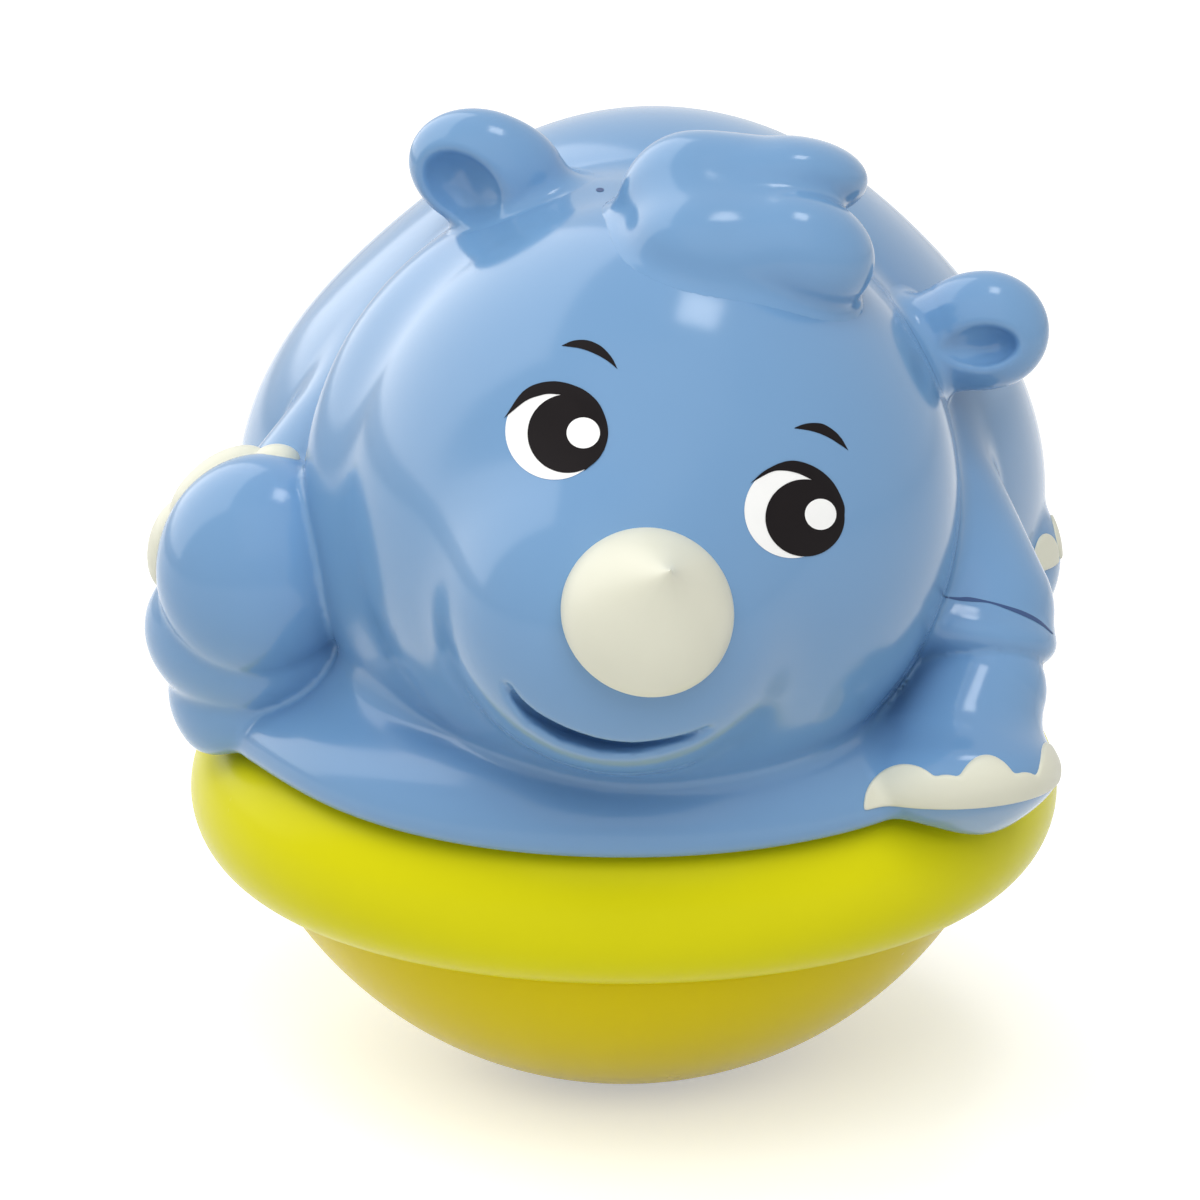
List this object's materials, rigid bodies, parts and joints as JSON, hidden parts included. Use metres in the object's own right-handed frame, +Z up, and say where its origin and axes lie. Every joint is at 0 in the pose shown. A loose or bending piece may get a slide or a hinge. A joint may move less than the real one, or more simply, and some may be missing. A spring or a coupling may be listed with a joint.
{
  "type": "roly poly toy",
  "caption": "Self-righting baby toy: a hollow glossy rhinoceros lying on a weighted round-bottomed base with a rim ring and a hidden chime striker.",
  "frame": {"origin": "the middle of the flat foot under the bowl, on the surface the toy stands on", "axes": "+Z up along the base's axis of turning, -Y the way the animal faces, +X to the right of someone who faces it"},
  "size_m": [0.1266, 0.1543, 0.1388],
  "materials": {
    "body_blue": "glossy painted plastic, cornflower blue",
    "base_lime": "glossy plastic, lime yellow",
    "horn_cream": "satin to glossy plastic, cream",
    "print_white": "printed ink under gloss, white",
    "print_black": "printed ink under gloss, black",
    "ballast_iron": "rough cast",
    "screw_steel": "plain bright steel",
    "tray_white": "matt moulded plastic, white"
  },
  "bodies": {
    "toy": {"bowl": "base_lime", "rim_ring": "base_lime", "deck": "body_blue", "deck_screws": "screw_steel", "front_shell": "body_blue", "rear_shell": "body_blue", "horn": "horn_cream", "ear_left": "body_blue", "ear_right": "body_blue", "hair_tuft": "body_blue", "nails_raised_foot": "horn_cream", "nails_planted_foot": "horn_cream", "nails_hind_left": "horn_cream", "nails_hind_right": "horn_cream", "eye_whites": "print_white", "eye_blacks": "print_black", "eyebrows": "print_black", "ballast": "ballast_iron", "clamp_screws": "screw_steel", "chime_tray": "tray_white", "chime_rods": "screw_steel", "striker_pin": "screw_steel"},
    "striker": {"striker": "screw_steel"}
  },
  "joints": [
    {"name": "striker_swing", "type": "hinge", "parent": "toy", "child": "striker", "pos_m": [0, 0.005, 0.04415], "axis": [1, 0, 0], "range_deg": [-24, 24]}
  ]
}
